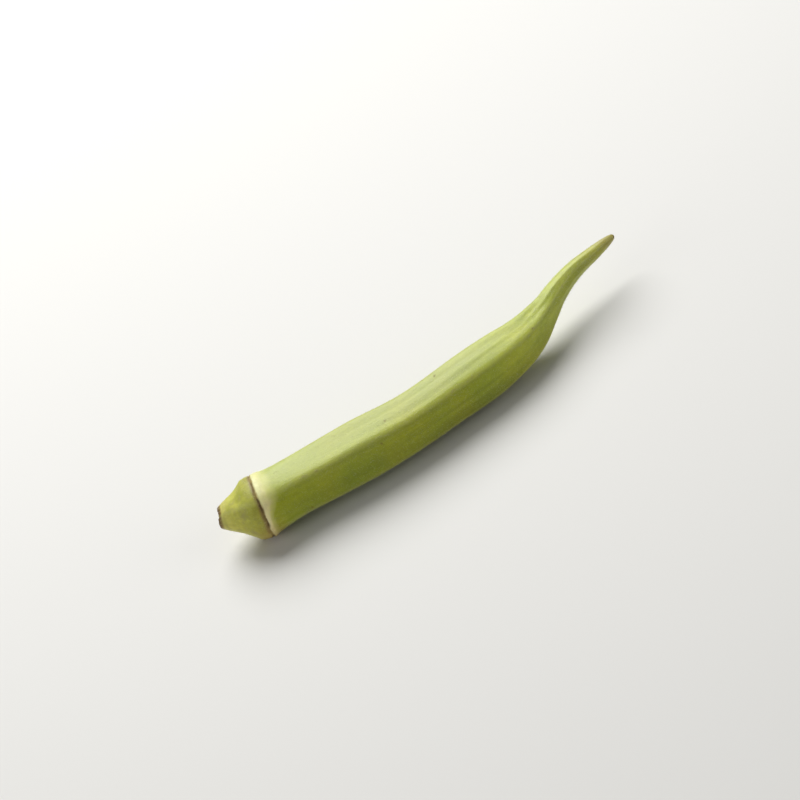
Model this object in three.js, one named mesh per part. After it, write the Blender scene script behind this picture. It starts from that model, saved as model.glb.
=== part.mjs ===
// An okra pod as picked, lying on its side: cut stalk, cone-shaped cap, collar ring, five-ribbed body
// and beak. It grew as one piece. Millimetres, +Z up. The cap points to -X, the beak to +X and bends
// to +Y. The origin is on the surface that the pod lies on, under the middle of its box.
import * as THREE from "three";

// The middle line of the pod, from the cut stalk through the ring to the tip, above the surface
const SPINE = [
  [-12.3, 2.24, 11.84],
  [0, 0.35, 10.0],
  [13, 0.3, 9.3],
  [32, 0.4, 8.85],
  [50, 0.75, 8.5],
  [66, 3.3, 8.2],
  [80, 5.6, 8.25],
  [90, 7.8, 8.9],
  [98, 11.2, 10.3],
  [106, 15.1, 12.3],
  [113, 17.6, 13.6],
  [121, 19.5, 14.15],
  [128.2, 21.2, 14.5],
];

// Width across the pod at each distance along it from the ring, back towards the cut stalk
const CAP_LENGTH = 12.7;
const CAP_WIDTHS = [
  [-CAP_LENGTH, 6.9],
  [-12.0, 7.3],
  [-11.2, 8.0],
  [-9.6, 9.8],
  [-8.1, 11.3],
  [-6.6, 13.0],
  [-5.3, 15.0],
  [-4.1, 17.1],
  [-2.9, 18.7],
  [-1.6, 19.2],
  [-0.4, 19.4],
];

// The groove of the ring, where the flower's leaves fell off, and the lip of the collar past it
const RING_WIDTH = 19.6;
const GROOVE_DEPTH = 0.3;
const GROOVE_HALF = 0.25;

// Width across the body and the beak at each distance along it from the ring
const BODY_WIDTHS = [
  [0.5, RING_WIDTH],
  [1.5, 19.1],
  [2.7, 18.6],
  [5, 17.9],
  [9, 17.3],
  [14, 17.2],
  [20, 17.5],
  [27, 17.8],
  [34, 17.9],
  [41, 17.3],
  [48, 16.7],
  [55, 16.5],
  [62, 16.5],
  [69, 16.8],
  [75, 16.7],
  [81, 15.8],
  [86.5, 14.5],
  [91, 13.0],
  [95, 11.4],
  [99, 9.6],
  [103, 8.1],
  [108, 6.8],
  [113, 5.8],
  [118.5, 5.0],
  [124, 4.1],
  [128.3, 3.1],
  [130.5, 2.3],
  [131.7, 1.3],
];

// Five ribs, the first of them this far round from the front, and how the ribs turn along the pod
const RIBS = 5;
const FIRST_RIB = THREE.MathUtils.degToRad(51);
const RIB_TWIST = THREE.MathUtils.degToRad(-0.11);
const RIB_SHARPNESS = 9;

// How far the ribs stand out of the flats between them, as a share of the pod's half width
const RIB_HEIGHTS = [
  [-CAP_LENGTH, 0.03],
  [-6, 0.05],
  [-2.5, 0.05],
  [0.5, 0.03],
  [4, 0.06],
  [12, 0.13],
  [60, 0.15],
  [92, 0.19],
  [99, 0.2],
  [103.5, 0.09],
  [132, 0.05],
];

// A faint second rib runs down the middle of each flat, and shows most towards the beak
const MIDRIB_HEIGHTS = [
  [0, 0],
  [40, 0.01],
  [80, 0.03],
  [101, 0.03],
  [106, 0.05],
  [132, 0.02],
];
const MIDRIB_SPREAD = THREE.MathUtils.degToRad(9);

// The collar stands out more below than above, and the stalk is cut on a slant
const LIP_DROP = new THREE.Vector3(0, -0.2, -0.35);
const LIP_REACH = 3;
const CUT_SLANT = Math.tan(THREE.MathUtils.degToRad(4));
const CUT_LOW_SIDE = THREE.MathUtils.degToRad(-50);
const CUT_REACH = 5;
const CUT_DISH = 0.35;

const SIDES = 40;
const CAP_RINGS = 18;
const BODY_RINGS = 62;

const spine = new THREE.CatmullRomCurve3(SPINE.map((point) => new THREE.Vector3(...point)), false, "centripetal");
spine.arcLengthDivisions = 2000;
const spineLength = spine.getLength();

// A value read from a table of [distance, value] rows, eased between them
function readTable(table, distance) {
  const after = table.findIndex(([at]) => at >= distance);
  if (after === 0) return table[0][1];
  if (after < 0) return table[table.length - 1][1];
  const [[from, low], [to, high]] = [table[after - 1], table[after]];
  return THREE.MathUtils.lerp(low, high, THREE.MathUtils.smoothstep(distance, from, to));
}

// The pod's outline, as [distance from the ring, width] all the way from stalk to tip
function outline() {
  const smooth = (rows, count) =>
    new THREE.SplineCurve(rows.map(([at, width]) => new THREE.Vector2(at, width))).getPoints(count);
  const grooveWidth = RING_WIDTH - 2 * GROOVE_DEPTH;
  const groove = [-GROOVE_HALF, GROOVE_HALF].map((at) => new THREE.Vector2(at * 0.5, grooveWidth));
  return [...smooth(CAP_WIDTHS, CAP_RINGS), ...groove, ...smooth(BODY_WIDTHS, BODY_RINGS)];
}

// How far a softened five-sided section reaches at an angle from a rib: 0 on a flat, 1 on a rib
function ribShape(angle) {
  const reach = (fromRib) => {
    let sum = 0;
    for (let flat = 0; flat < RIBS; flat += 1) {
      const toFlat = fromRib - ((flat + 0.5) * 2 * Math.PI) / RIBS;
      sum += Math.max(0, Math.cos(toFlat)) ** RIB_SHARPNESS;
    }
    return sum ** (-1 / RIB_SHARPNESS);
  };
  return (reach(angle) - 1) / (reach(0) - 1);
}

// A low rounded rise in the middle of each flat
function midribShape(angle) {
  const sector = (2 * Math.PI) / RIBS;
  const fromMiddle = (((angle % sector) + sector) % sector) - sector / 2;
  return Math.exp(-((fromMiddle / MIDRIB_SPREAD) ** 2));
}

// The middle, direction and two cross directions of the pod at a distance from the ring
function frameAt(distance) {
  const share = THREE.MathUtils.clamp((distance + CAP_LENGTH) / spineLength, 0, 1);
  const middle = spine.getPointAt(share);
  const along = spine.getTangentAt(share);
  const up = new THREE.Vector3(0, 0, 1).addScaledVector(along, -along.z).normalize();
  const front = new THREE.Vector3().crossVectors(along, up);
  const lip = 1 - THREE.MathUtils.smoothstep(Math.abs(distance + 1), 1.5, LIP_REACH);
  middle.addScaledVector(LIP_DROP, lip);
  return { middle, along, up, front };
}

// One ring of points round the pod, flattened where it meets the surface
function ringOf({ x: distance, y: width }) {
  const { middle, along, up, front } = frameAt(distance);
  const ribHeight = readTable(RIB_HEIGHTS, distance);
  const midribHeight = readTable(MIDRIB_HEIGHTS, distance);
  const flatReach = width / 2 / (1 + 0.6 * ribHeight);
  const slant = CUT_SLANT * THREE.MathUtils.clamp(1 - (distance + CAP_LENGTH) / CUT_REACH, 0, 1);
  const ring = [];
  for (let side = 0; side < SIDES; side += 1) {
    const fromRib = (side * 2 * Math.PI) / SIDES;
    const angle = FIRST_RIB + RIB_TWIST * distance + fromRib;
    const reach = flatReach * (1 + ribHeight * ribShape(fromRib) + midribHeight * midribShape(fromRib));
    const point = middle.clone();
    point.addScaledVector(front, reach * Math.cos(angle));
    point.addScaledVector(up, reach * Math.sin(angle));
    point.addScaledVector(along, -slant * reach * Math.cos(angle - CUT_LOW_SIDE));
    point.z = Math.max(point.z, 0);
    ring.push(point);
  }
  return ring;
}

// The middle of a ring, moved along the pod
function poleOf(ring, along, distance) {
  const middle = new THREE.Vector3();
  ring.forEach((point) => middle.add(point));
  return middle.divideScalar(ring.length).addScaledVector(along, distance);
}

function podGeometry() {
  const rings = outline().map(ringOf);
  const stalkAlong = frameAt(-CAP_LENGTH).along;
  const tipAlong = frameAt(spineLength).along;

  // The cut face of the stalk is dished, inside a narrow rim
  const cutMiddle = poleOf(rings[0], stalkAlong, CUT_DISH);
  rings.unshift(rings[0].map((point) => point.clone().lerp(cutMiddle, 0.25).addScaledVector(stalkAlong, CUT_DISH / 2)));
  const tipMiddle = poleOf(rings[rings.length - 1], tipAlong, 0.45);

  const points = [cutMiddle, ...rings.flat(), tipMiddle];
  const faces = [];
  const at = (ring, side) => 1 + ring * SIDES + (side % SIDES);
  const last = rings.length - 1;
  for (let side = 0; side < SIDES; side += 1) {
    faces.push(0, at(0, side), at(0, side + 1));
    for (let ring = 0; ring < last; ring += 1) {
      faces.push(at(ring, side), at(ring + 1, side), at(ring, side + 1));
      faces.push(at(ring, side + 1), at(ring + 1, side), at(ring + 1, side + 1));
    }
    faces.push(points.length - 1, at(last, side + 1), at(last, side));
  }
  const geometry = new THREE.BufferGeometry().setFromPoints(points);
  geometry.setIndex(faces);
  geometry.computeVertexNormals();
  return geometry;
}

const podSkin = new THREE.MeshStandardMaterial({ color: "#a3b458", roughness: 0.6, metalness: 0 });

const pod = new THREE.Mesh(podGeometry(), podSkin);
pod.name = "okra_pod";
pod.geometry.computeBoundingBox();
const middleOfBox = pod.geometry.boundingBox.getCenter(new THREE.Vector3());
pod.position.set(-middleOfBox.x, -middleOfBox.y, 0);

const group = new THREE.Group();
group.add(pod);

export default group;
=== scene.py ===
import math

import bpy
import numpy as np
from mathutils import Matrix, Vector, noise


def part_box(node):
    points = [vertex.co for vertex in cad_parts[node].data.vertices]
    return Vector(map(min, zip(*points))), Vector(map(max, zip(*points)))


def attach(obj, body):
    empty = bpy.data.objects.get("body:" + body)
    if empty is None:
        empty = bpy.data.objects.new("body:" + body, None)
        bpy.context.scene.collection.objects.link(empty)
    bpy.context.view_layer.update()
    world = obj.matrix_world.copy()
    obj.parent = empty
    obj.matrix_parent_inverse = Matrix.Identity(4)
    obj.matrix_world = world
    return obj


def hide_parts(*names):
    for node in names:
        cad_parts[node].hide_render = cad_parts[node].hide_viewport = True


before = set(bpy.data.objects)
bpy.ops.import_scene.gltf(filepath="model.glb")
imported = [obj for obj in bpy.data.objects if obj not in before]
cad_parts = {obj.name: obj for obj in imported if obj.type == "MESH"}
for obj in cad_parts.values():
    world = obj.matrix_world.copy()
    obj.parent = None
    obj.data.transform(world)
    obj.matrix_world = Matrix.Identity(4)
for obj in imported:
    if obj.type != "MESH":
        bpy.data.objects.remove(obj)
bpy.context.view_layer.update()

# The pod: one growth of plant tissue, firm and a little waxy, with a soft five-sided section. It is
# modelled straight, ring by ring from the cut stalk to the beak, its ribs are pressed out, and then
# it is bent along its own line and laid on its belly.
MM = 0.001
CAP_LENGTH = 12.7
SIDES = 60

# Distance from the collar's ring and width across the pod there, in millimetres
CUT_FACE = [(-12.32, 1.0), (-12.38, 2.4), (-12.46, 3.8), (-12.56, 5.1)]
CAP_WIDTHS = [
    (-CAP_LENGTH, 5.7),
    (-12.5, 6.3),
    (-11.9, 7.2),
    (-11.2, 8.0),
    (-9.6, 9.8),
    (-8.1, 11.3),
    (-6.6, 13.0),
    (-5.3, 15.0),
    (-4.1, 17.1),
    (-2.9, 18.7),
    (-1.6, 19.2),
    (-0.8, 19.4),
]
GROOVE = [(-0.42, 19.35), (-0.2, 19.1), (0.0, 18.95), (0.18, 19.1), (0.38, 19.5)]
BODY_WIDTHS = [
    (0.7, 19.5),
    (1.5, 19.1),
    (2.7, 18.6),
    (5, 17.9),
    (9, 17.3),
    (14, 17.2),
    (20, 17.5),
    (27, 17.8),
    (34, 17.9),
    (41, 17.3),
    (48, 16.7),
    (55, 16.5),
    (62, 16.5),
    (69, 16.8),
    (75, 16.7),
    (81, 15.8),
    (86.5, 14.5),
    (91, 13.0),
    (95, 11.4),
    (99, 9.6),
    (103, 8.1),
    (108, 6.8),
    (113, 5.8),
    (118.5, 5.0),
    (124, 4.1),
    (128.3, 3.1),
    (130.4, 2.3),
    (131.5, 1.5),
    (131.9, 0.8),
]

# The pod's middle line above the surface it lies on, from the cut stalk to the tip: x, y, z
MIDDLE_LINE = [
    (-12.3, 2.24, 11.84),
    (0, 0.35, 10.0),
    (13, 0.3, 9.3),
    (32, 0.4, 8.85),
    (50, 0.75, 8.5),
    (66, 3.3, 8.2),
    (80, 5.6, 8.25),
    (90, 7.8, 8.9),
    (98, 11.2, 10.3),
    (106, 15.1, 12.3),
    (113, 17.6, 13.6),
    (121, 19.5, 14.15),
    (128.2, 21.2, 14.5),
]

# Five ribs, as shares of the half width, and a faint rib in the middle of each flat between them. The
# flats sink by a share of the ribs' height, so that the pod keeps its width.
RIBS = 5
FIRST_RIB = math.radians(51)
RIB_TWIST = math.radians(-0.11)
RIB_SHARPNESS = 9
RIB_HEIGHTS = [
    (-13.1, 0.03),
    (-6, 0.05),
    (-2.5, 0.05),
    (0.5, 0.03),
    (4, 0.06),
    (12, 0.13),
    (60, 0.15),
    (92, 0.19),
    (99, 0.2),
    (103.5, 0.09),
    (132, 0.05),
]
MIDRIB_HEIGHTS = [(-13.1, 0), (0, 0), (40, 0.01), (80, 0.03), (101, 0.03), (106, 0.05), (132, 0.02)]
MIDRIB_SPREAD = math.radians(9)
FLAT_SINK = 0.6

# The collar's lip stands out more below than above, in full up to 1.5 mm from its middle and not at
# all from 3 mm. The stalk is cut on a slant, which is gone 5 mm further on.
LIP_DROP = (-0.2, -0.35)
LIP_MIDDLE = -1
LIP_REACH = (1.5, 3)
CUT_SLANT = math.tan(math.radians(4))
CUT_LOW_SIDE = math.radians(-50)
CUT_REACH = 5

# How far round from the front lies the side turned to the key lamp, which the skin paints paler as painted
# light; the far side is painted darker as painted shade
PAINTED_LIGHT_SIDE = math.radians(115)


def read(table, at):
    """Values between the rows of a table of (distance, value), on one smooth line through them."""
    rows = np.array(table, float)
    x, y = rows[:, 0], rows[:, 1]
    slope = np.gradient(y, x)
    i = np.clip(np.searchsorted(x, at) - 1, 0, len(x) - 2)
    span = x[i + 1] - x[i]
    t = np.clip((at - x[i]) / span, 0, 1)
    rise = y[i] * (2 * t**3 - 3 * t**2 + 1) + y[i + 1] * (3 * t**2 - 2 * t**3)
    return rise + span * (slope[i] * (t**3 - 2 * t**2 + t) + slope[i + 1] * (t**3 - t**2))


def eased(low, high, value):
    """0 up to the low value, 1 from the high one, and smooth between them."""
    t = np.clip((value - low) / (high - low), 0, 1)
    return t * t * (3 - 2 * t)


def only(thing):
    """Makes one object the only one selected, and the active one."""
    bpy.ops.object.select_all(action="DESELECT")
    thing.select_set(True)
    bpy.context.view_layer.objects.active = thing


def points_of(thing):
    """The places of an object's points, one in each row."""
    flat = np.empty(len(thing.data.vertices) * 3)
    thing.data.vertices.foreach_get("co", flat)
    return flat.reshape(-1, 3)


def place(thing, points):
    """Moves an object's points to the places given."""
    thing.data.vertices.foreach_set("co", points.ravel())
    thing.data.update()


def rib_shape(from_rib):
    """0 in the middle of a flat and 1 on a rib of the softened five-sided section."""
    flats = (np.arange(RIBS) + 0.5) * 2 * math.pi / RIBS
    facing = np.maximum(0, np.cos(from_rib[:, None] - flats))
    reach = (facing**RIB_SHARPNESS).sum(1) ** (-1 / RIB_SHARPNESS)
    crest = (2 * math.cos(math.pi / RIBS) ** RIB_SHARPNESS) ** (-1 / RIB_SHARPNESS)
    return (reach - 1) / (crest - 1)


# The cut face and the cap, the groove and the body, drawn out ring after ring, closer where they bend
# most, and closed at the tip
CAP_RINGS = (-CAP_LENGTH, -12.5, -12.1, *np.linspace(-11.4, -0.8, 13))
BODY_RINGS = (0.7, 1.2, 1.9, 2.8, *np.linspace(4.2, 128.3, 50), 130.0, 131.2, 131.75)
TIP_LENGTH = 0.2
cap_rows = [(at, read(CAP_WIDTHS, at)) for at in CAP_RINGS]
body_rows = [(at, read(BODY_WIDTHS, at)) for at in BODY_RINGS]
rings = [*CUT_FACE, *cap_rows, *GROOVE, *body_rows]
bpy.ops.object.select_all(action="DESELECT")
bpy.ops.mesh.primitive_circle_add(
    vertices=SIDES,
    radius=rings[0][1] / 2 * MM,
    fill_type="TRIFAN",
    location=(rings[0][0] * MM, 0, 0),
    rotation=(0, math.pi / 2, 0),
)
pod = bpy.context.object
pod.name = "okra_pod_skin"
bpy.ops.object.transform_apply(location=True, rotation=True, scale=True)
bpy.ops.object.mode_set(mode="EDIT")
bpy.ops.mesh.select_mode(type="EDGE")
bpy.ops.mesh.select_all(action="SELECT")
bpy.ops.mesh.region_to_loop()
for (before, width_before), (at, width) in zip(rings, rings[1:]):
    bpy.ops.mesh.extrude_region_move(TRANSFORM_OT_translate={"value": ((at - before) * MM, 0, 0)})
    grow = width / width_before
    bpy.ops.transform.resize(value=(1, grow, grow), center_override=(at * MM, 0, 0))
bpy.ops.mesh.extrude_region_move(TRANSFORM_OT_translate={"value": (TIP_LENGTH * MM, 0, 0)})
bpy.ops.mesh.merge(type="CENTER")
bpy.ops.mesh.select_all(action="SELECT")
bpy.ops.mesh.normals_make_consistent(inside=False)
bpy.ops.object.mode_set(mode="OBJECT")

# The cut face, inside its rim, has a finish of its own
CUT_RADIUS = 2.85
CUT_LIMIT = -12.1
for face in pod.data.polygons:
    x, y, z = face.center / MM
    if x < CUT_LIMIT and math.hypot(y, z) < CUT_RADIUS:
        face.material_index = 1

# The ribs are pressed out of the round pod, and turn a little along it
points = points_of(pod) / MM
at = points[:, 0]
reach = np.hypot(points[:, 1], points[:, 2])
angle = np.arctan2(points[:, 2], -points[:, 1])
from_rib = angle.copy()
rib = read(RIB_HEIGHTS, at)
midrib = read(MIDRIB_HEIGHTS, at)
sector = 2 * math.pi / RIBS
from_middle = from_rib % sector - sector / 2
swell = 1 + rib * rib_shape(from_rib) + midrib * np.exp(-((from_middle / MIDRIB_SPREAD) ** 2))
reach *= swell / (1 + FLAT_SINK * rib)
angle += FIRST_RIB + RIB_TWIST * at
points[:, 1] = -reach * np.cos(angle)
points[:, 2] = reach * np.sin(angle)
place(pod, points * MM)

# Rounded between the rings
only(pod)
bpy.ops.object.modifier_add(type="SUBSURF")
rounding = pod.modifiers[-1]
rounding.levels = 2
rounding.render_levels = 2
bpy.ops.object.modifier_apply(modifier=rounding.name)

# Places on the straight pod, kept for the patterns that follow its growth
points = points_of(pod)
straight = points.copy()
at = points[:, 0] / MM
angle = np.arctan2(points[:, 2], -points[:, 1])
reach = np.hypot(points[:, 1], points[:, 2]) / MM
crest = np.clip(rib_shape(angle - FIRST_RIB - RIB_TWIST * at), 0, 1)
# How far each point faces the key lamp, for the skin's painted light and painted shade
toward_key_lamp = np.cos(angle - PAINTED_LIGHT_SIDE)

# Slow lumps over the seeds, fine lengthwise ridges which start past the collar, and the skin's own
# grain, in millimetres. Each is read from a part of the noise that the others don't use.
LUMP_LENGTH, LUMP_WIDTH, LUMP_HEIGHT = 13, 6, 0.1
RIDGE_LENGTH, RIDGE_WIDTH, RIDGE_HEIGHT = 38, 1.3, 0.045
GRAIN_LENGTH, GRAIN_WIDTH, GRAIN_HEIGHT = 1.6, 0.7, 0.018
RIDGES_START = (8, 50)
normals = np.empty(len(points) * 3)
pod.data.vertices.foreach_get("normal", normals)
normals = normals.reshape(-1, 3)
heights = np.zeros(len(points))
for index, (x, y, z) in enumerate(straight / MM):
    lump = noise.noise((x / LUMP_LENGTH, y / LUMP_WIDTH, z / LUMP_WIDTH)) * LUMP_HEIGHT
    ridge = noise.noise((x / RIDGE_LENGTH, y / RIDGE_WIDTH + 40, z / RIDGE_WIDTH)) * RIDGE_HEIGHT
    grain = noise.noise((x / GRAIN_LENGTH, y / GRAIN_WIDTH, z / GRAIN_WIDTH + 90)) * GRAIN_HEIGHT
    heights[index] = lump + ridge * eased(*RIDGES_START, x) + grain
points += normals * heights[:, None] * MM

# The scar of the flower's leaves wanders a little round the ring, in waves of 3 mm
SCAR_WAVE = 3
SCAR_WANDER = 0.3
SCAR_REACH = 1.4
ragged = np.array([noise.noise((7, y / SCAR_WAVE, z / SCAR_WAVE)) for y, z in straight[:, 1:] / MM])
points[:, 0] += ragged * SCAR_WANDER * MM * np.exp(-((at / SCAR_REACH) ** 2))

# The cut dried: its woody ring stands out in fibres, the pith inside shrank, and the rim is ragged, in
# slow waves and small nicks. A pair is where a change starts and ends, in millimetres from its middle,
# a limit is a distance from the ring, and a number round says how closely the noise follows the turn.
PITH_EDGE = (0.8, 1.5)
PITH_DEPTH = 0.9
FIBRES_START = (0.9, 1.8)
FIBRE_HEIGHT = 0.2
FIBRE_LENGTH = 2.5
FIBRES_ROUND = 7
CRUMB_SIZE = 0.4
CRUMB_HEIGHT = 0.16
FACE_EDGE = (2.7, 3.1)
FACE_LIMIT = -12.2
RIM_EDGE = (2.2, 2.9)
RIM_LIMIT = -11
RIM_REACH = 1.1
WAVE_HEIGHT = 0.45
WAVES_ROUND = 1.4
NICK_HEIGHT = 0.25
NICKS_ROUND = 4.5
dried = np.zeros(len(points))
for index in np.flatnonzero(at < RIM_LIMIT):
    turn, out = angle[index], reach[index]
    around = Vector((math.cos(turn), math.sin(turn), 0))
    rim = eased(*RIM_EDGE, out) * math.exp(-(((at[index] + CAP_LENGTH) / RIM_REACH) ** 2))
    waves = WAVE_HEIGHT * noise.noise(around * WAVES_ROUND)
    nicks = NICK_HEIGHT * noise.noise(around * NICKS_ROUND)
    dried[index] = rim * (waves + nicks)
    if at[index] < FACE_LIMIT:
        pith = PITH_DEPTH * (1 - eased(*PITH_EDGE, out))
        fibre = noise.noise((around.x * FIBRES_ROUND, around.y * FIBRES_ROUND, out / FIBRE_LENGTH))
        fibre = FIBRE_HEIGHT * (fibre * eased(*FIBRES_START, out))
        crumb = CRUMB_HEIGHT * noise.noise(tuple(straight[index] / MM / CRUMB_SIZE))
        dried[index] += (1 - eased(*FACE_EDGE, out)) * (pith + fibre + crumb)
points[:, 0] += dried * MM

# The lip and the slanted cut
lip = 1 - eased(*LIP_REACH, abs(at - LIP_MIDDLE))
slant = CUT_SLANT * np.clip(1 - (at + CAP_LENGTH) / CUT_REACH, 0, 1)
points[:, 0] -= slant * reach * np.cos(angle - CUT_LOW_SIDE) * MM
points[:, 1] += LIP_DROP[0] * lip * MM
points[:, 2] += LIP_DROP[1] * lip * MM
points[:, 0] += CAP_LENGTH * MM
place(pod, points)


def keep(thing, name, kind, values):
    """Keeps a value for each point of an object under a name that its material reads."""
    layer = thing.data.attributes.new(name, kind, "POINT")
    layer.data.foreach_set("vector" if kind == "FLOAT_VECTOR" else "value", np.ravel(values))


keep(pod, "straight", "FLOAT_VECTOR", straight)
keep(pod, "crest", "FLOAT", crest)
# How far each point faces the key lamp, kept for the painted light and painted shade
keep(pod, "toward_key_lamp", "FLOAT", toward_key_lamp)

# Bent along its middle line
bpy.ops.object.select_all(action="DESELECT")
bpy.ops.curve.primitive_bezier_curve_add(location=(0, 0, 0))
middle_line = bpy.context.object
middle_line.data.twist_mode = "Z_UP"
middle_line.data.resolution_u = 40
knots = middle_line.data.splines[0].bezier_points
knots.add(len(MIDDLE_LINE) - len(knots))
for knot, point in zip(knots, MIDDLE_LINE):
    knot.co = Vector(point) * MM
    knot.handle_left_type = knot.handle_right_type = "AUTO"
only(pod)
bpy.ops.object.modifier_add(type="CURVE")
bend = pod.modifiers[-1]
bend.object = middle_line
bend.deform_axis = "POS_X"
bpy.ops.object.modifier_apply(modifier=bend.name)
bpy.data.objects.remove(middle_line)

# Laid where the frame's pod lies, pressed flat where it meets the surface
points = points_of(pod)
points[:, 2] = np.maximum(points[:, 2], 0)
node_low, node_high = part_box("okra_pod")
node_middle = (Vector(node_low) + Vector(node_high)) / 2
points[:, 0] += node_middle.x - (points[:, 0].min() + points[:, 0].max()) / 2
points[:, 1] += node_middle.y - (points[:, 1].min() + points[:, 1].max()) / 2
place(pod, points)
only(pod)
bpy.ops.object.shade_smooth()
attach(pod, "root")
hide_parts("okra_pod")


def linear(colour):
    """A colour written as sRGB hex, in the linear values that shaders use."""
    parts = [int(colour[i : i + 2], 16) / 255 for i in (1, 3, 5)]
    return [v / 12.92 if v <= 0.04045 else ((v + 0.055) / 1.055) ** 2.4 for v in parts] + [1]


def add(tree, kind, sockets=None, **settings):
    """Adds a node with its settings, and with a value or another node's result on each input."""
    made = tree.nodes.new(kind)
    for name, value in settings.items():
        setattr(made, name, value)
    inputs = [socket for socket in made.inputs if socket.enabled]
    for name, value in (sockets or {}).items():
        socket = inputs[name] if isinstance(name, int) else next(s for s in inputs if s.name == name)
        if isinstance(value, bpy.types.Node):
            value = next(result for result in value.outputs if result.enabled)
        if isinstance(value, bpy.types.NodeSocket):
            tree.links.new(value, socket)
        else:
            socket.default_value = value
    return made


# Okra skin: a living green rind under a thin wax, satin rather than shiny. Growth drew it out into
# fine lengthwise streaks; it is cream where the flower sat, olive on the cap and beak, and brown
# where it dried or was rubbed. Rows hold a distance from the ring, a paler and a deeper tone.
CAP_COLOURS = [
    (-CAP_LENGTH, "#66491E", "#463214"),
    (-12.1, "#7A5A2C", "#5A411C"),
    (-11.8, "#A08A48", "#80692E"),
    (-11.4, "#D4C867", "#BDB054"),
    (-8.0, "#CFC957", "#BBB54A"),
    (-4.5, "#BAB945", "#A6A339"),
    (-1.2, "#AFAC43", "#9B9739"),
    (-0.5, "#958044", "#7E6634"),
]
BODY_COLOURS = [
    (0.25, "#B19A5C", "#9A8048"),
    (0.7, "#F6EDB4", "#EBE0A0"),
    (2.5, "#F6EDAA", "#ECE096"),
    (3.6, "#D6D57A", "#C6C764"),
    (6.2, "#A2AC14", "#8E9912"),
    (30, "#9EA70C", "#89930A"),
    (66, "#A5AB12", "#949A0E"),
    (86, "#B3B92A", "#A3AA22"),
    (98, "#BAC040", "#ACB335"),
    (112, "#BCC250", "#AEB443"),
    (126, "#B9B74E", "#A8A540"),
    (130.6, "#AB9F50", "#948742"),
    (131.9, "#6E542C", "#513E22"),
]

skin = bpy.data.materials.new("okra_skin")
skin.use_nodes = True
tree = skin.node_tree
where = add(tree, "ShaderNodeAttribute", attribute_name="straight").outputs["Vector"]
crest_share = add(tree, "ShaderNodeAttribute", attribute_name="crest").outputs["Fac"]
# How far the skin faces the key lamp, read by its painted light and painted shade
key_lamp_facing = add(tree, "ShaderNodeAttribute", attribute_name="toward_key_lamp").outputs["Fac"]
axes = add(tree, "ShaderNodeSeparateXYZ", {"Vector": where})
along, height = axes.outputs["X"], axes.outputs["Z"]
from_ring = add(tree, "ShaderNodeMath", {0: along}, operation="ABSOLUTE")
past_ring = add(tree, "ShaderNodeMath", {0: along, 1: 0}, operation="GREATER_THAN")

# Streaks 60 mm long and 2.2 mm wide, which show more towards the beak
streak_size = (1 / (60 * MM), 1 / (2.2 * MM), 1 / (2.2 * MM))
drawn_out = add(tree, "ShaderNodeMapping", {"Vector": where, "Scale": streak_size})
streaks = add(tree, "ShaderNodeTexNoise", {"Vector": drawn_out, "Scale": 1, "Detail": 2})
deep = add(
    tree,
    "ShaderNodeMapRange",
    {"Value": streaks, "From Min": 0.4, "From Max": 0.62},
    interpolation_type="SMOOTHSTEP",
)
towards_beak = add(
    tree,
    "ShaderNodeMapRange",
    {"Value": along, "From Min": 20 * MM, "From Max": 80 * MM, "To Min": 0.4},
)
deep = add(tree, "ShaderNodeMath", {0: deep, 1: towards_beak}, operation="MULTIPLY")

# The tones run into each other unevenly, little on the cap and more away from the ring, and the
# collar's cream ends sooner on its underside
uneven = add(tree, "ShaderNodeTexNoise", {"Vector": where, "Scale": 1 / (2.6 * MM), "Detail": 3})
uneven = add(tree, "ShaderNodeMapRange", {"Value": uneven, "To Min": -0.4, "To Max": 0.4})
below = add(
    tree,
    "ShaderNodeMapRange",
    {"Value": height, "From Min": 5.8 * MM, "From Max": 1.5 * MM, "To Max": 1.5},
)
collar = add(tree, "ShaderNodeMapRange", {"Value": along, "From Min": 12 * MM, "From Max": 6 * MM})
collar = add(tree, "ShaderNodeMath", {0: collar, 1: past_ring}, operation="MULTIPLY")
uneven = add(tree, "ShaderNodeMath", {0: below, 1: collar, 2: uneven}, operation="MULTIPLY_ADD")
most_wander = add(tree, "ShaderNodeMapRange", {"Value": past_ring, "To Min": 0.6 * MM, "To Max": 8 * MM})
wander = add(tree, "ShaderNodeMath", {0: from_ring, 1: most_wander}, operation="MINIMUM")
wandered = add(tree, "ShaderNodeMath", {0: uneven, 1: wander, 2: along}, operation="MULTIPLY_ADD")
tones = {}
for part, rows in (("cap", CAP_COLOURS), ("body", BODY_COLOURS)):
    start, end = rows[0][0], rows[-1][0]
    share = add(
        tree,
        "ShaderNodeMapRange",
        {"Value": wandered, "From Min": start * MM, "From Max": end * MM},
    )
    for tone in (1, 2):
        ramp = add(tree, "ShaderNodeValToRGB", {"Fac": share})
        stops = ramp.color_ramp.elements
        stops.remove(stops[1])
        for row in rows:
            stop = stops[0] if row is rows[0] else stops.new((row[0] - start) / (end - start))
            stop.color = linear(row[tone])
        tones[part, tone] = ramp
pale_tone, deep_tone = (
    add(
        tree,
        "ShaderNodeMix",
        {"Factor": past_ring, "A": tones["cap", tone], "B": tones["body", tone]},
        data_type="RGBA",
    )
    for tone in (1, 2)
)
colour = add(tree, "ShaderNodeMix", {"Factor": deep, "A": pale_tone, "B": deep_tone}, data_type="RGBA")

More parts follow.
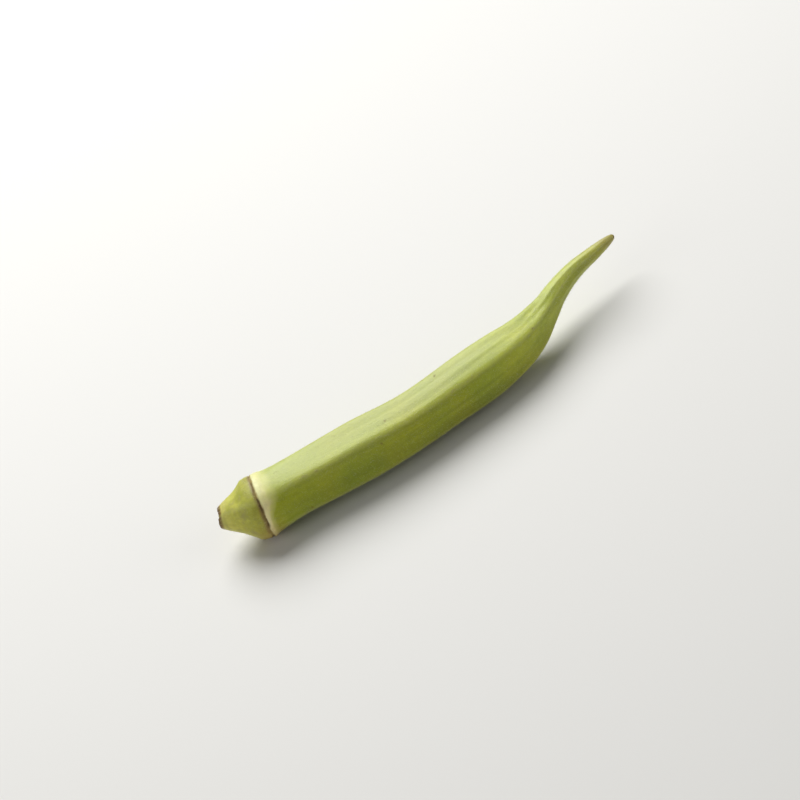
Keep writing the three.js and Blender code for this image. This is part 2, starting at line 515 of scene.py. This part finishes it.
# Patches 15 mm across are a little lighter or darker, and yellower or greener, and mottles 1.3 mm
# across only lighter or darker
patches = add(tree, "ShaderNodeTexNoise", {"Vector": where, "Scale": 1 / (15 * MM), "Detail": 2})
patch_light = add(
    tree,
    "ShaderNodeMapRange",
    {"Value": patches, "From Min": 0.3, "From Max": 0.7, "To Min": 0.94, "To Max": 1.06},
)
patch_hue = add(
    tree,
    "ShaderNodeMapRange",
    {"Value": patches, "From Min": 0.3, "From Max": 0.7, "To Min": 0.512, "To Max": 0.492},
)
mottles = add(tree, "ShaderNodeTexNoise", {"Vector": where, "Scale": 1 / (1.3 * MM), "Detail": 3})
mottle_light = add(
    tree,
    "ShaderNodeMapRange",
    {"Value": mottles, "From Min": 0.35, "From Max": 0.65, "To Min": 0.94, "To Max": 1.08},
)

# Painted shade: the side turned away from the key lamp is painted darker, most so along the body. The cap
# is painted a little darker on its lit side too, as painted shade.
body_from = add(tree, "ShaderNodeMapRange", {"Value": along, "From Min": 3 * MM, "From Max": 12 * MM})
body_to = add(
    tree,
    "ShaderNodeMapRange",
    {"Value": along, "From Min": 100 * MM, "From Max": 75 * MM, "To Min": 0.3},
)
on_body = add(tree, "ShaderNodeMath", {0: body_from, 1: body_to}, operation="MULTIPLY")
painted_shade_depth = add(tree, "ShaderNodeMapRange", {"Value": on_body, "To Min": 0.88, "To Max": 0.66})
painted_shade = add(
    tree,
    "ShaderNodeMapRange",
    {"Value": key_lamp_facing, "From Min": -0.15, "From Max": -0.95, "To Min": 1, "To Max": painted_shade_depth},
)
cap_lit_side_depth = add(tree, "ShaderNodeMapRange", {"Value": past_ring, "To Min": 0.86, "To Max": 1})
cap_lit_side_shade = add(
    tree,
    "ShaderNodeMapRange",
    {"Value": key_lamp_facing, "From Min": 0.1, "From Max": 0.8, "To Min": 1, "To Max": cap_lit_side_depth},
)
lightness = patch_light
for light in (painted_shade, cap_lit_side_shade, mottle_light):
    lightness = add(tree, "ShaderNodeMath", {0: lightness, 1: light}, operation="MULTIPLY")
colour = add(tree, "ShaderNodeHueSaturation", {"Color": colour, "Hue": patch_hue, "Value": lightness})

# Painted light: the body's side turned to the key lamp is painted paler, less towards the beak
PAINTED_LIGHT_TONE = linear("#CAD190")
most_painted_light = add(
    tree,
    "ShaderNodeMapRange",
    {"Value": along, "From Min": 72 * MM, "From Max": 98 * MM, "To Min": 0.44, "To Max": 0.12},
)
most_painted_light = add(tree, "ShaderNodeMath", {0: most_painted_light, 1: past_ring}, operation="MULTIPLY")
painted_light = add(
    tree,
    "ShaderNodeMapRange",
    {"Value": key_lamp_facing, "From Min": 0.1, "From Max": 0.9, "To Max": most_painted_light},
)
colour = add(tree, "ShaderNodeMix", {"Factor": painted_light, "A": colour, "B": PAINTED_LIGHT_TONE}, data_type="RGBA")

# Pores, really 0.1 mm across and drawn at 0.4 mm so that they show, and a painted highlight along the
# crests of the ribs
pores = add(tree, "ShaderNodeTexNoise", {"Vector": where, "Scale": 1 / (0.4 * MM), "Detail": 2})
pore = add(tree, "ShaderNodeMapRange", {"Value": pores, "From Min": 0.55, "From Max": 0.72, "To Max": 0.35})
crest_highlight = add(
    tree,
    "ShaderNodeMapRange",
    {"Value": crest_share, "From Min": 0.8, "From Max": 1, "To Max": 0.3},
)

# Scuffs 5 mm long and 1.7 mm wide, where the ribs were rubbed
scuff_size = (1 / (5 * MM), 1 / (1.7 * MM), 1 / (1.7 * MM))
rubbed = add(tree, "ShaderNodeMapping", {"Vector": where, "Scale": scuff_size})
scuffs = add(tree, "ShaderNodeTexNoise", {"Vector": rubbed, "Scale": 1, "Detail": 4, "Roughness": 0.65})
scuff = add(tree, "ShaderNodeMapRange", {"Value": scuffs, "From Min": 0.6, "From Max": 0.7, "To Max": 1.54})
scuff = add(tree, "ShaderNodeMath", {0: scuff, 1: crest_highlight}, operation="MULTIPLY")

# Specks about a millimetre across, in two of five cells of 5 mm, with uneven edges
pushed = add(tree, "ShaderNodeTexNoise", {"Vector": where, "Scale": 1 / (0.8 * MM)})
pushed = add(
    tree,
    "ShaderNodeVectorMath",
    {0: pushed.outputs["Color"], 1: (1.6 * MM, 1.6 * MM, 1.6 * MM), 2: where},
    operation="MULTIPLY_ADD",
)
cells = add(tree, "ShaderNodeTexVoronoi", {"Vector": pushed, "Scale": 1 / (5 * MM)})
speck = add(
    tree,
    "ShaderNodeMapRange",
    {"Value": cells.outputs["Distance"], "From Min": 0.12, "From Max": 0.04, "To Max": 0.55},
)
cell = add(tree, "ShaderNodeSeparateColor", {"Color": cells.outputs["Color"]})
specked = add(tree, "ShaderNodeMath", {0: cell.outputs["Red"], 1: 0.6}, operation="GREATER_THAN")
speck = add(tree, "ShaderNodeMath", {0: speck, 1: specked}, operation="MULTIPLY")

# Painted shade: the underside of the collar and of the cap beside it is painted darker and tan
shaded_underside = add(
    tree,
    "ShaderNodeMapRange",
    {"Value": height, "From Min": 2 * MM, "From Max": -5 * MM, "To Max": 0.6},
)
beside_ring = add(
    tree,
    "ShaderNodeMapRange",
    {"Value": from_ring, "From Min": 5 * MM, "From Max": 1.5 * MM},
)
shaded_underside = add(tree, "ShaderNodeMath", {0: shaded_underside, 1: beside_ring}, operation="MULTIPLY")

# The cap has corky blotches of 3.5 mm and moss green ones of 6 mm, which keep off the ring and off
# the brown rim of the cut
on_cap = add(tree, "ShaderNodeMapRange", {"Value": along, "From Min": -0.5 * MM, "From Max": -3 * MM})
off_rim = add(tree, "ShaderNodeMapRange", {"Value": along, "From Min": -11.8 * MM, "From Max": -10.8 * MM})
on_cap = add(tree, "ShaderNodeMath", {0: on_cap, 1: off_rim}, operation="MULTIPLY")
cork = add(
    tree,
    "ShaderNodeTexNoise",
    {"Vector": where, "Scale": 1 / (3.5 * MM), "Detail": 4, "Roughness": 0.65},
)
cork = add(tree, "ShaderNodeMapRange", {"Value": cork, "From Min": 0.5, "From Max": 0.66, "To Max": 0.55})
cork = add(tree, "ShaderNodeMath", {0: cork, 1: on_cap}, operation="MULTIPLY")
moss = add(tree, "ShaderNodeTexNoise", {"Vector": where, "Scale": 1 / (6 * MM), "Detail": 3})
moss = add(tree, "ShaderNodeMapRange", {"Value": moss, "From Min": 0.48, "From Max": 0.62, "To Max": 0.45})
moss = add(tree, "ShaderNodeMath", {0: moss, 1: on_cap}, operation="MULTIPLY")
# Marks mixed over the colour, among them the painted highlight on the crests and the painted shade on the
# underside
for mark, tone in (
    (pore, "#C6CC78"),
    (moss, "#8B9220"),
    (cork, "#9E945C"),
    (crest_highlight, "#C4C670"),
    (shaded_underside, "#B6923E"),
    (scuff, "#948452"),
    (speck, "#6C5014"),
):
    colour = add(tree, "ShaderNodeMix", {"Factor": mark, "A": colour, "B": linear(tone)}, data_type="RGBA")

# The scar at the ring, about a millimetre wide with ragged edges, is dark where it dried most
ragged_edge = add(tree, "ShaderNodeTexNoise", {"Vector": where, "Scale": 1 / (2 * MM), "Detail": 2})
near_ring = add(
    tree,
    "ShaderNodeMath",
    {0: ragged_edge, 1: 0.9 * MM, 2: from_ring},
    operation="MULTIPLY_ADD",
)
scar = add(
    tree,
    "ShaderNodeMapRange",
    {"Value": near_ring, "From Min": 0.95 * MM, "From Max": 0.6 * MM, "To Max": 0.9},
)
dryness = add(
    tree,
    "ShaderNodeTexNoise",
    {"Vector": where, "Scale": 1 / (4.5 * MM), "Detail": 4, "Roughness": 0.6},
)
dryness = add(tree, "ShaderNodeMapRange", {"Value": dryness, "From Min": 0.38, "From Max": 0.6})
scar_tone = add(
    tree,
    "ShaderNodeMix",
    {"Factor": dryness, "A": linear("#A08A4E"), "B": linear("#4C360C")},
    data_type="RGBA",
)
colour = add(tree, "ShaderNodeMix", {"Factor": scar, "A": colour, "B": scar_tone}, data_type="RGBA")

# Dry marks and the underside's painted shade are duller than the waxed skin. The grain is drawn at the
# pores' 0.4 mm, and wrinkles are
# 6 mm long and 0.5 mm wide.
roughness = add(
    tree,
    "ShaderNodeMapRange",
    {"Value": pores, "From Min": 0.3, "From Max": 0.7, "To Min": 0.33, "To Max": 0.42},
)
DULLER = 0.3
for mark in (scuff, speck, scar, shaded_underside, on_cap):
    roughness = add(tree, "ShaderNodeMath", {0: mark, 1: DULLER, 2: roughness}, operation="MULTIPLY_ADD")
wrinkle_size = (1 / (6 * MM), 1 / (0.5 * MM), 1 / (0.5 * MM))
wrinkled = add(tree, "ShaderNodeMapping", {"Vector": where, "Scale": wrinkle_size})
wrinkles = add(tree, "ShaderNodeTexNoise", {"Vector": wrinkled, "Scale": 1, "Detail": 2})
grain = add(tree, "ShaderNodeMath", {0: pores, 1: wrinkles}, operation="ADD")
bump = add(tree, "ShaderNodeBump", {"Height": grain, "Strength": 0.7, "Distance": 0.06 * MM})
shader = tree.nodes["Principled BSDF"]
tree.links.new(next(s for s in colour.outputs if s.enabled), shader.inputs["Base Color"])
tree.links.new(roughness.outputs[0], shader.inputs["Roughness"])
tree.links.new(bump.outputs[0], shader.inputs["Normal"])
for name, value in (
    ("IOR", 1.38),
    ("Subsurface Weight", 0.12),
    ("Subsurface Radius", (1.0, 0.9, 0.25)),
    ("Subsurface Scale", 1.2 * MM),
    ("Sheen Weight", 0.16),
    ("Sheen Roughness", 0.5),
    ("Sheen Tint", linear("#EFF1D6")),
):
    shader.inputs[name].default_value = value
pod.data.materials.append(skin)

# Dried okra stalk: where the pod was cut, a brown bark round tan wood fibres and a pale shrunken pith,
# quite matt. The rows give a distance from its middle and the tone there.
STALK_COLOURS = [
    (0.0, "#8E7850"),
    (0.8, "#B9A678"),
    (1.2, "#7C6138"),
    (1.6, "#A98C5C"),
    (2.3, "#C0A878"),
    (2.7, "#8A6C42"),
    (3.1, "#543B20"),
]
stalk = bpy.data.materials.new("dried_okra_stalk")
stalk.use_nodes = True
tree = stalk.node_tree
where = add(tree, "ShaderNodeAttribute", attribute_name="straight").outputs["Vector"]
across = add(tree, "ShaderNodeMapping", {"Vector": where, "Scale": (0, 1, 1)})
out = add(tree, "ShaderNodeVectorMath", {"Vector": across}, operation="LENGTH")
fibres_from, fibres_to = FIBRES_START
woody = add(
    tree,
    "ShaderNodeMapRange",
    {"Value": out, "From Min": fibres_from * MM, "From Max": fibres_to * MM},
)
share = add(tree, "ShaderNodeMapRange", {"Value": out, "From Max": STALK_COLOURS[-1][0] * MM})
ramp = add(tree, "ShaderNodeValToRGB", {"Fac": share})
stops = ramp.color_ramp.elements
stops.remove(stops[1])
for row in STALK_COLOURS:
    stop = stops[0] if row is STALK_COLOURS[0] else stops.new(row[0] / STALK_COLOURS[-1][0])
    stop.color = linear(row[1])

# Fibres are read round the middle, so that they run outwards, and the pith crumbles in bits of 0.4 mm
round_it = add(tree, "ShaderNodeVectorMath", {"Vector": across}, operation="NORMALIZE")
fibres = add(tree, "ShaderNodeTexNoise", {"Vector": round_it, "Scale": 9, "Detail": 4, "Roughness": 0.7})
crumbs = add(tree, "ShaderNodeTexNoise", {"Vector": where, "Scale": 1 / (CRUMB_SIZE * MM), "Detail": 3})
rough_tone = add(tree, "ShaderNodeMix", {"Factor": woody, "A": crumbs, "B": fibres}, data_type="FLOAT")
rough_tone = add(tree, "ShaderNodeMath", {0: rough_tone, 1: crumbs}, operation="ADD")
shade = add(
    tree,
    "ShaderNodeMapRange",
    {"Value": rough_tone, "From Min": 0.7, "From Max": 1.3, "To Min": 0.55, "To Max": 1.25},
)
colour = add(tree, "ShaderNodeHueSaturation", {"Color": ramp, "Value": shade})
bump = add(tree, "ShaderNodeBump", {"Height": rough_tone, "Strength": 0.9, "Distance": 0.2 * MM})
shader = tree.nodes["Principled BSDF"]
tree.links.new(colour.outputs[0], shader.inputs["Base Color"])
tree.links.new(bump.outputs[0], shader.inputs["Normal"])
shader.inputs["Roughness"].default_value = 0.92
shader.inputs["IOR"].default_value = 1.45
pod.data.materials.append(stalk)

# Hairs: the pod's fine fuzz, stiff pale single hairs under a millimetre long that lean towards the
# beak and stand closest on the ribs and the beak. One is modelled, and its copies stand in the skin.
# Sizes are in millimetres, tilts in radians from upright, and joint and droop are shares of its length.
HAIRS = 11000
HAIR_LENGTHS = (0.4, 0.85)
HAIR_THICKNESS = 0.05
HAIR_DROOP = 0.35
HAIR_ROOT = 0.1
HAIR_JOINT = 0.45
HAIR_TILTS = (0.1, 0.95)
HAIR_STRAY = 0.4
HAIR_SPREAD = 0.12
ABOVE_TABLE = 0.05

# How many more there are on a crest and on the beak, and the cap's share, against a flat of the body.
# The stalk, the tip, the ring and the belly are bare.
MORE_ON_CRESTS = 0.9
MORE_ON_BEAK = 1.6
CAP_SHARE = 0.35
BARE_STALK = -11.2
BARE_TIP = 131.4
BARE_RING = 0.8
BARE_BELLY = 0.6
bpy.ops.object.select_all(action="DESELECT")
bpy.ops.mesh.primitive_cone_add(vertices=3, radius1=0.5, radius2=0, depth=1, location=(0, 0, 0.5))
hairs = bpy.context.object
hairs.name = "okra_pod_hairs"
bpy.ops.object.transform_apply(location=True, rotation=True, scale=True)
bpy.ops.object.mode_set(mode="EDIT")
bpy.ops.mesh.select_all(action="SELECT")
bpy.ops.mesh.bisect(plane_co=(0, 0, HAIR_JOINT), plane_no=(0, 0, 1))
bpy.ops.mesh.select_all(action="DESELECT")
bpy.ops.object.mode_set(mode="OBJECT")
one = points_of(hairs)
one_faces = [list(face.vertices) for face in hairs.data.polygons]

# The skin's faces, taken column by column so that each run draws the same ones. Its two roundings made
# four columns of each side.
COLUMNS = 4 * SIDES
corners = np.array([list(face.vertices) for face in pod.data.polygons])
on_straight = straight[corners].mean(1) / MM
turn = np.arctan2(on_straight[:, 2], -on_straight[:, 1]) - FIRST_RIB - RIB_TWIST * on_straight[:, 0]
column = np.floor(turn % (2 * math.pi) / (2 * math.pi / COLUMNS))
order = np.lexsort((on_straight[:, 0], column))
faces = [pod.data.polygons[index] for index in order]
middles = np.array([face.center for face in faces]) / MM
outward = np.array([face.normal for face in faces])
areas = np.array([face.area for face in faces])
face_at, face_crest = on_straight[order, 0], crest[corners[order]].mean(1)

# How closely the hairs stand on each face, and the faces drawn for them
density = 1 + MORE_ON_CRESTS * eased(0.75, 1, face_crest) + MORE_ON_BEAK * eased(95, 108, face_at)
density *= CAP_SHARE + (1 - CAP_SHARE) * eased(2, 9, face_at)
density *= (face_at > BARE_STALK) & (face_at < BARE_TIP)
density *= (abs(face_at) > BARE_RING) & (middles[:, 2] > BARE_BELLY)
draw = np.random.default_rng(11)
chosen = draw.choice(len(faces), HAIRS, p=areas * density / (areas * density).sum())
up = outward[chosen]
spread = draw.normal(0, HAIR_SPREAD, (HAIRS, 3))
roots = middles[chosen] + spread - up * (spread * up).sum(1)[:, None]

# Each leans towards the beak, by its own amount and a little sideways, and droops at its end
line = np.array(MIDDLE_LINE, float)
lean = np.ones((HAIRS, 3))
for axis in (1, 2):
    lean[:, axis] = np.interp(face_at[chosen], line[:, 0], np.gradient(line[:, axis], line[:, 0]))
lean += draw.normal(0, HAIR_STRAY, (HAIRS, 3))
lean -= up * (lean * up).sum(1)[:, None]
lean /= np.linalg.norm(lean, axis=1)[:, None]
tilt = draw.uniform(*HAIR_TILTS, HAIRS)[:, None]
stand = (up * np.cos(tilt) + lean * np.sin(tilt))[:, None]
stoop = (lean * np.cos(tilt) - up * np.sin(tilt))[:, None]
side = np.cross(stand, stoop)
length = draw.uniform(*HAIR_LENGTHS, HAIRS)[:, None, None]
x, y, z = (one[None, :, axis, None] for axis in range(3))
copies = (roots - up * HAIR_ROOT)[:, None] + stand * z * length
copies = copies + stoop * (x * HAIR_THICKNESS + z**2 * HAIR_DROOP * length) + side * y * HAIR_THICKNESS
copies = copies[copies[:, :, 2].min(1) > ABOVE_TABLE]
count = len(copies)
every = [[corner + index * len(one) for corner in face] for index in range(count) for face in one_faces]
fuzz = bpy.data.meshes.new("okra_pod_hairs")
fuzz.from_pydata(copies.reshape(-1, 3) * MM, [], every)
hairs.data = fuzz
keep(hairs, "to_tip", "FLOAT", np.tile(one[:, 2], count))
keep(hairs, "own_tone", "FLOAT", np.repeat(draw.uniform(0, 1, count), len(one)))
only(hairs)
bpy.ops.object.shade_smooth()
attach(hairs, "root")

# Plant hair: clear thin-walled cells, which look pale because they are full of air, greener at the root
hair = bpy.data.materials.new("okra_hair")
hair.use_nodes = True
tree = hair.node_tree
to_tip = add(tree, "ShaderNodeAttribute", attribute_name="to_tip").outputs["Fac"]
own_tone = add(tree, "ShaderNodeAttribute", attribute_name="own_tone").outputs["Fac"]
tip_tone = add(
    tree,
    "ShaderNodeMix",
    {"Factor": own_tone, "A": linear("#E8E9CC"), "B": linear("#CDCF96")},
    data_type="RGBA",
)
root_tone = linear("#A8B048")
colour = add(tree, "ShaderNodeMix", {"Factor": to_tip, "A": root_tone, "B": tip_tone}, data_type="RGBA")
shader = tree.nodes["Principled BSDF"]
tree.links.new(next(s for s in colour.outputs if s.enabled), shader.inputs["Base Color"])
for name, value in (
    ("Roughness", 0.5),
    ("IOR", 1.4),
    ("Subsurface Weight", 1),
    ("Subsurface Radius", (1, 1, 1)),
    ("Subsurface Scale", 0.3 * MM),
):
    shader.inputs[name].default_value = value
hairs.data.materials.append(hair)

# Where it lies: a plain pale floor of matt paint, 0.02 mm under the pod so that the two never share a
# surface. A large soft lamp lights it from above and behind, and two weaker ones from the left and the
# right in front.
bpy.ops.object.select_all(action="DESELECT")
bpy.ops.mesh.primitive_plane_add(size=4, location=(0, 0, -0.02 * MM))
floor = bpy.context.object
floor.name = "floor"
paint = bpy.data.materials.new("pale_floor")
paint.use_nodes = True
paint.node_tree.nodes["Principled BSDF"].inputs["Base Color"].default_value = linear("#DBDAD6")
paint.node_tree.nodes["Principled BSDF"].inputs["Roughness"].default_value = 0.7
floor.data.materials.append(paint)

# A weak white glow from all round keeps the shadows soft
world = bpy.data.worlds.new("studio")
bpy.context.scene.world = world
world.use_nodes = True
world.node_tree.nodes["Background"].inputs["Color"].default_value = (1, 1, 1, 1)
world.node_tree.nodes["Background"].inputs["Strength"].default_value = 0.1


def soft_lamp(name, stand_at, size, power):
    """A round soft lamp that shines from where it stands towards the pod."""
    bpy.ops.object.light_add(type="AREA", location=stand_at)
    lamp = bpy.context.object
    lamp.name = name
    lamp.data.shape = "DISK"
    lamp.data.size = size
    lamp.data.energy = power
    lamp.rotation_euler = (Vector() - Vector(stand_at)).to_track_quat("-Z", "Y").to_euler()


soft_lamp("key_lamp", (0, 0.62, 0.8), size=1.0, power=14.5)
soft_lamp("fill_lamp", (-0.95, -0.25, 0.45), size=0.8, power=2.7)
soft_lamp("right_lamp", (0.9, -0.5, 0.5), size=0.8, power=2)

# The camera: 40 degrees above the table, turned about its own axis so that the pod rises to the right
ELEVATION = math.radians(40.2)
ROLL = math.radians(29.9)
DISTANCE = 1.047
AIM = Vector((-0.0075, -0.0018, 0.0148))
LENS = 163
ahead = Vector((0, math.cos(ELEVATION), -math.sin(ELEVATION)))
level = Vector((1, 0, 0))
above = level.cross(ahead)
right = level * math.cos(ROLL) - above * math.sin(ROLL)
up = level * math.sin(ROLL) + above * math.cos(ROLL)
bpy.ops.object.camera_add(location=AIM - ahead * DISTANCE)
camera = bpy.context.object
camera.rotation_euler = Matrix((right, up, -ahead)).transposed().to_euler()
camera.data.lens = LENS
camera.data.sensor_width = 36
bpy.context.scene.camera = camera
bpy.context.scene.view_settings.view_transform = "Standard"
